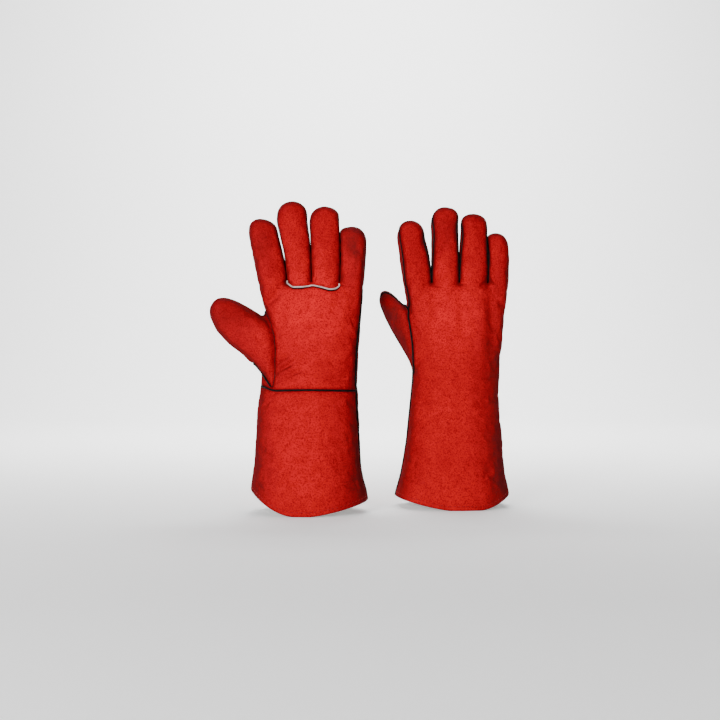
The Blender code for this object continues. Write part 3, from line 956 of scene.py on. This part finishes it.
class Nodes:
    """A short way to build a material's node tree."""

    def __init__(self, name):
        self.material = bpy.data.materials.new(name)
        self.material.use_nodes = True
        self.tree = self.material.node_tree
        self.shader = self.tree.nodes["Principled BSDF"]
        self.coordinates = self.tree.nodes.new("ShaderNodeTexCoord").outputs["Object"]

    def link(self, a, b):
        self.tree.links.new(a, b)

    def put(self, value, socket):
        """Link an output to a socket, or set the socket to a plain value."""
        if hasattr(value, "links"):
            self.link(value, socket)
        else:
            socket.default_value = value

    def noise(self, scale, detail=3.0, rough=0.55):
        node = self.tree.nodes.new("ShaderNodeTexNoise")
        node.inputs["Scale"].default_value = scale
        node.inputs["Detail"].default_value = detail
        node.inputs["Roughness"].default_value = rough
        self.link(self.coordinates, node.inputs["Vector"])
        return node.outputs["Fac"]

    def span(self, value, low, high, to_low=0.0, to_high=1.0):
        node = self.tree.nodes.new("ShaderNodeMapRange")
        node.interpolation_type = "SMOOTHSTEP"
        for key, number in zip(("From Min", "From Max", "To Min", "To Max"), (low, high, to_low, to_high)):
            node.inputs[key].default_value = number
        self.link(value, node.inputs["Value"])
        return node.outputs["Result"]

    def mix(self, share, a, b):
        node = self.tree.nodes.new("ShaderNodeMix")
        node.data_type = "RGBA"
        for key, value in ((0, share), (6, a), (7, b)):
            self.put(value, node.inputs[key])
        return node.outputs[2]

    def math(self, operation, a, b):
        node = self.tree.nodes.new("ShaderNodeMath")
        node.operation = operation
        self.put(a, node.inputs[0])
        self.put(b, node.inputs[1])
        return node.outputs[0]

    def attribute(self, name):
        node = self.tree.nodes.new("ShaderNodeAttribute")
        node.attribute_name = name
        return node.outputs["Fac"]

    def bump(self, height, strength, distance, under=None):
        node = self.tree.nodes.new("ShaderNodeBump")
        node.inputs["Strength"].default_value = strength
        node.inputs["Distance"].default_value = distance
        self.link(height, node.inputs["Height"])
        if under:
            self.link(under, node.inputs["Normal"])
        return node.outputs["Normal"]

    def set(self, **values):
        for key, value in values.items():
            self.put(value, self.shader.inputs[key.replace("_", " ")])


# The third red is painted light; the last three are painted shade.
DEEP_RED = (0.33, 0.0038, 0.0078, 1)
BRIGHT_RED = (0.47, 0.0048, 0.0098, 1)
LIGHT_POOL_RED = (0.84, 0.0080, 0.0160, 1)
STAIN_RED = (0.26, 0.0035, 0.0070, 1)
NAP_RED = (0.80, 0.0100, 0.0170, 1)
FLECK_RED = (0.14, 0.0030, 0.0050, 1)
PAINTED_SHADE_RED = (0.100, 0.0110, 0.0120, 1)
EDGE_SHADE_RED = (0.075, 0.0080, 0.0090, 1)
SEAM_SHADE_RED = (0.06, 0.0022, 0.0035, 1)


def suede():
    """Split leather: noise scales are per metre, and each layer's share is the number beside it."""
    n = Nodes("red_suede")
    broad = n.span(n.noise(24.0, 3.0), 0.34, 0.68)
    stains = n.span(n.noise(90.0, 4.0, 0.6), 0.36, 0.66)
    nap = n.span(n.noise(760.0, 4.0, 0.7), 0.36, 0.64)
    fibre = n.noise(1700.0, 2.0, 0.6)
    flecks = n.span(n.noise(640.0, 3.0, 0.7), 0.46, 0.66)
    uneven = n.span(n.noise(45.0, 4.0, 0.6), 0.3, 0.65, 0.45, 0.95)
    # Painted shade: the leather darkens where it turns away from the camera, towards its outline.
    away = n.tree.nodes.new("ShaderNodeLayerWeight")
    away.inputs["Blend"].default_value = 0.5
    edge_shade = n.span(away.outputs["Facing"], 0.05, 0.55)
    # Painted shade along the seams and the hem.
    seam = n.span(n.attribute("seam"), 0.4, 1.0)
    red = n.mix(broad, DEEP_RED, BRIGHT_RED)
    for layer, share, colour in (
        # painted light: a brighter pool on the palm and the cuff
        (n.attribute("light_pool"), 0.8, LIGHT_POOL_RED),
        (stains, 0.30, STAIN_RED),
        (nap, 0.30, NAP_RED),
        (flecks, 0.72, FLECK_RED),
        # painted shade: darker patches, mottled by noise
        (n.attribute("painted_shade"), uneven, PAINTED_SHADE_RED),
        (edge_shade, 0.66, EDGE_SHADE_RED),
        (seam, 0.6, SEAM_SHADE_RED),
    ):
        red = n.mix(n.math("MULTIPLY", layer, share), red, colour)
    lumps = n.bump(n.noise(140.0, 3.0), 0.45, 0.0007)
    grain = n.bump(nap, 0.6, 0.0004, lumps)
    n.set(Base_Color=red, Roughness=0.95, Specular_IOR_Level=0.02, Normal=n.bump(fibre, 0.4, 0.00025, grain))
    return n.material


def welt(name, dark, light, rough):
    n = Nodes(name)
    tone = n.mix(n.span(n.noise(160.0), 0.35, 0.7), dark, light)
    n.set(Base_Color=tone, Roughness=rough, Specular_IOR_Level=0.1,
          Normal=n.bump(n.noise(900.0, 3.0), 0.25, 0.0002))
    return n.material


def fleece():
    n = Nodes("cotton_lining")
    tone = n.mix(n.span(n.noise(260.0, 4.0), 0.35, 0.7), (0.62, 0.57, 0.47, 1), (0.80, 0.76, 0.67, 1))
    n.set(Base_Color=tone, Roughness=0.97, Sheen_Weight=0.4, Specular_IOR_Level=0.1,
          Normal=n.bump(n.noise(700.0, 5.0, 0.7), 0.7, 0.0008))
    return n.material


SUEDE = suede()
BLACK_WELT = welt("black_welt", (0.0015, 0.0014, 0.0016, 1), (0.006, 0.005, 0.006, 1), 0.6)
PALE_WELT = welt("pale_welt", (0.50, 0.36, 0.34, 1), (0.80, 0.68, 0.66, 1), 0.5)
THREAD = welt("red_thread", (0.26, 0.008, 0.012, 1), (0.38, 0.014, 0.018, 1), 0.7)
FLEECE = fleece()


# ---- sewing

def tube(name, paths, radius, material, slim=None):
    """Round cords through lists of points; slim gives each point's share of the radius."""
    curve = bpy.data.curves.new(name, "CURVE")
    curve.dimensions = "3D"
    curve.bevel_depth = radius * MM
    curve.bevel_resolution = 2
    curve.use_fill_caps = True
    for path in paths:
        spline = curve.splines.new("POLY")
        spline.points.add(len(path) - 1)
        for point, place in zip(spline.points, path):
            point.co = (*place, 1.0)
            point.radius = slim(place[2] / MM) if slim else 1.0
    cord = linked(name + "_cord", curve)
    data = evaluated_mesh(cord)
    bpy.data.objects.remove(cord, do_unlink=True)
    data.name = name
    data.shade_smooth()
    data.materials.clear()
    data.materials.append(material)
    return linked(name, data)


def calm_path(path, rounds):
    points = np.array([p[:] for p in path])
    for _ in range(rounds):
        points[1:-1] = points[1:-1] * 0.5 + (points[:-2] + points[2:]) * 0.25
    return points


def even_path(points, step):
    lengths = np.concatenate([[0.0], np.cumsum(np.linalg.norm(np.diff(points, axis=0), axis=1))])
    count = max(2, int(round(lengths[-1] / step)) + 1)
    marks = np.linspace(0.0, lengths[-1], count)
    return np.stack([np.interp(marks, lengths, points[:, i]) for i in range(3)], axis=1)


WELT_LOOK = {
    BLACK: (WELT_RADIUS, 0.5, BLACK_WELT, "black_welt"),
    SIDE: (SIDE_WELT_RADIUS, 0.5, BLACK_WELT, "black_welt"),
    PALE: (PALE_WELT_RADIUS, 0.9, PALE_WELT, "pale_welt"),
    # a thin black cord sunk in a tucked seam, drawing the dark line of the fold there: painted shade
    TUCK: (0.4, 0.0, BLACK_WELT, "black_welt"),
}
FINE_WELT = 0.64
THUMB_WELT = 0.92
WELT_NODES = {(SIDE, "cuff"): "cuff_side_welt", (PALE, "hand"): "finger_welt", (BLACK, "hand"): "wrist_welt"}
SLIM_SPAN = (205.0, 256.0)
WELT_STEP = 1.6
SHORTEST_RUN = 4  # a seam of fewer points has no welt
CALM_ROUNDS = 4
PALE_END = 2.4
UNDER_PALE = (-0.4, -1.7)  # a dark cord lies this far behind and below the pale one


def slim_side(z):
    """The welt of a side seam narrows to the width of a finger's welt."""
    least = FINE_WELT * WELT_RADIUS / SIDE_WELT_RADIUS
    return 1.0 - (1.0 - least) * float(ramp(z, *SLIM_SPAN))


def carried_up(path):
    """The cord goes on a little way up into the gap at each end."""
    up = np.array([0.0, 0.0, PALE_END]) * MM
    return np.vstack([path[0] + up, path, path[-1] + up])


def sew_welts(sewn):
    form = sewn.form
    for (kind, owner), edges in sorted(sewn.seams.items()):
        radius, lift, material, slot_name = WELT_LOOK[kind]
        if kind == BLACK and owner != "hand":
            radius *= THUMB_WELT if owner == "thumb" else FINE_WELT
        paths = []
        for run in chains(edges):
            if len(run) < SHORTEST_RUN:
                continue
            verts = [sewn.mesh.verts[i] for i in run]
            points = calm_path([v.co + v.normal * lift * MM for v in verts], CALM_ROUNDS)
            paths.append(even_path(points, WELT_STEP * MM))
        if not paths:
            continue
        if kind == PALE:
            paths = [carried_up(path) for path in paths]
            behind, below = UNDER_PALE
            lower = [path + np.array([0.0, form.palm * behind, below]) * MM for path in paths]
            under = tube(f"{form.side}_finger_welt_shadow", lower, radius, BLACK_WELT)
            attach(form, under, owner)
        slim = slim_side if kind == SIDE else None
        made = tube(f"{form.side}_{owner}_{kind}_seams", paths, radius, material, slim)
        attach(form, made, owner)
        node = WELT_NODES.get((kind, owner))
        if node:
            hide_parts(f"{form.side}_{node}")


STITCH_HEIGHT = 5.0
STITCH_STEP = 0.5  # the hem is measured out in steps of this length
STITCH_LENGTH = 6  # steps in a stitch
STITCH_REPEAT = 10  # steps from one stitch to the next
THREAD_RADIUS = 0.38
THREAD_OUT, THREAD_IN = 0.25, -0.35  # a stitch stands proud in its middle and goes in at its ends


def hem_stitches(sewn):
    """A row of stitches round the cuff, just above its edge."""
    form = sewn.form
    mesh = sewn.mesh
    rim = [(e.verts[0].index, e.verts[1].index) for e in mesh.edges if len(e.link_faces) == 1]
    paths = []
    tree = tree_of([v.co for v in mesh.verts])
    for run in chains(rim):
        edge = even_path(np.array([mesh.verts[i].co[:] for i in run]), STITCH_STEP * MM)
        for start in range(0, len(edge) - STITCH_LENGTH, STITCH_REPEAT):
            path = []
            for k in range(0, STITCH_LENGTH + 1, 2):
                target = Vector(edge[start + k]) + Vector((0, 0, STITCH_HEIGHT * MM))
                _, i, _ = tree.find(target)
                v = mesh.verts[i]
                lift = THREAD_OUT if 0 < k < STITCH_LENGTH - 1 else THREAD_IN
                flat = target - v.normal * (target - v.co).dot(v.normal)
                path.append(flat + v.normal * lift * MM)
            paths.append(path)
    made = tube(f"{form.side}_hem_stitches", paths, THREAD_RADIUS, THREAD)
    attach(form, made, "cuff")


def line_glove(form, made):
    """The cotton lining, a thin sheet inside the leather, from the mesh before it is refined."""
    mesh = bmesh.new()
    mesh.from_mesh(made.data)
    trim_hem(mesh, form, LINING_HEM)
    cut(mesh, form, form.wrist)
    mesh.normal_update()
    names = [body_of(n) for n in name_faces(mesh, form)]
    depth = LEATHER + LINING_GAP + SEAM_DIP * LINING_DIP
    for body in ["cuff", "hand", "thumb"] + FINGER_ORDER:
        faces = [f for f, n in zip(mesh.faces, names) if n == body]
        _, base, normals, polygons = vertex_table(faces)
        outer = base - normals * depth * MM
        inner = base - normals * (depth + LINING) * MM
        piece = closed_sheet(f"{form.side}_{body}_fleece", outer, inner, polygons, FLEECE)
        attach(form, piece, body)
        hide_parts(f"{form.side}_{body}_lining")
    mesh.free()


def build_glove(form):
    made = fused_form(form)
    inflate(form, made)
    push_together(form, made)
    crease(form, made)
    line_glove(form, made)
    fine = made.modifiers.new("fine", "SUBSURF")
    fine.levels = 1
    fine.render_levels = 1
    baked(made)
    mesh = bmesh.new()
    mesh.from_mesh(made.data)
    bpy.data.objects.remove(made, do_unlink=True)
    cut_all(mesh, form)
    sewn = Sewn(mesh, form)
    for panel in sorted(set(sewn.names)):
        piece = panel_object(sewn, panel)
        attach(form, piece, body_of(panel))
        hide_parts(f"{form.side}_{panel}")
    sew_welts(sewn)
    hem_stitches(sewn)
    mesh.free()


# ---- stage, light and camera

CAMERA_DISTANCE = 1.2
CAMERA_HEIGHT = 0.171
CAMERA_ACROSS = 0.0576555  # to the right of the left glove's centre line
CAMERA_LENS = 53.07

FLOOR_FRONT = -14.0
FLOOR_HALF = 12.0
FLOOR_DROP = 0.0002  # the floor lies this far below the hems
WALL = 1.6  # where the paper starts to turn up
WALL_BEND = 0.9
WALL_TOP = 4.5
PAPER_GLOW = 0.32  # seen by the camera only


def backdrop():
    mesh = bmesh.new()
    bend = np.linspace(0.15, math.pi / 2, 12)
    profile = [(FLOOR_FRONT, 0.0), (WALL, 0.0)]
    profile += [(WALL + WALL_BEND * math.sin(a), WALL_BEND * (1.0 - math.cos(a))) for a in bend]
    profile += [(WALL + WALL_BEND, WALL_TOP)]
    rows = [[mesh.verts.new((x, y, z - FLOOR_DROP)) for x in (-FLOOR_HALF, FLOOR_HALF)] for y, z in profile]
    for low, high in zip(rows, rows[1:]):
        mesh.faces.new((low[0], low[1], high[1], high[0]))
    made = object_from("backdrop", mesh)
    mesh.free()
    made.data.shade_smooth()
    n = Nodes("pale_paper")
    seen = n.tree.nodes.new("ShaderNodeLightPath").outputs["Is Camera Ray"]
    n.set(Base_Color=(0.93, 0.93, 0.93, 1), Roughness=0.9, Specular_IOR_Level=0.1,
          Emission_Color=(1.0, 1.0, 1.0, 1), Emission_Strength=n.math("MULTIPLY", seen, PAPER_GLOW))
    made.data.materials.append(n.material)


def area_light(name, place, target, size, power):
    light = bpy.data.lights.new(name, "AREA")
    light.shape = "DISK"
    light.size = size
    light.energy = power
    made = linked(name, light)
    made.location = place
    made.rotation_mode = "QUATERNION"
    made.rotation_quaternion = (Vector(target) - Vector(place)).to_track_quat("-Z", "Y")


MIDDLE = (0.0, 0.0, 0.18)
WALL_MIDDLE = (0.0, 2.3, 0.4)
# Name, place, what it shines on, size in metres, power in watts.
LIGHTS = [
    ("key", (-0.85, -1.75, 0.6), MIDDLE, 0.6, 38.0),
    ("fill", (1.3, -1.7, 0.4), MIDDLE, 1.2, 2.5),
    ("top", (0.0, -0.1, 2.2), MIDDLE, 1.4, 7.0),
    ("behind", (0.0, 0.9, 1.6), WALL_MIDDLE, 1.6, 110.0),
]
WORLD_LIGHT = 0.26
WORLD_SEEN = 0.7  # the sky is brighter where the camera sees it past the paper


def light_scene():
    for light in LIGHTS:
        area_light(*light)
    world = bpy.data.worlds.new("studio")
    world.use_nodes = True
    tree = world.node_tree
    shade = tree.nodes["Background"]
    shade.inputs["Color"].default_value = (1.0, 1.0, 1.0, 1.0)
    seen = tree.nodes.new("ShaderNodeLightPath").outputs["Is Camera Ray"]
    strength = tree.nodes.new("ShaderNodeMapRange")
    strength.inputs["To Min"].default_value = WORLD_LIGHT
    strength.inputs["To Max"].default_value = WORLD_SEEN
    tree.links.new(seen, strength.inputs["Value"])
    tree.links.new(strength.outputs["Result"], shade.inputs["Strength"])
    bpy.context.scene.world = world


def place_camera():
    data = bpy.data.cameras.new("camera")
    data.lens = CAMERA_LENS
    data.sensor_width = 36.0
    made = linked("camera", data)
    made.location = (LEFT.centre_x + CAMERA_ACROSS, LEFT.centre_y - CAMERA_DISTANCE, CAMERA_HEIGHT)
    made.rotation_euler = (math.pi / 2.0, 0.0, 0.0)
    bpy.context.scene.camera = made


for glove in (LEFT, RIGHT):
    build_glove(glove)
backdrop()
light_scene()
place_camera()
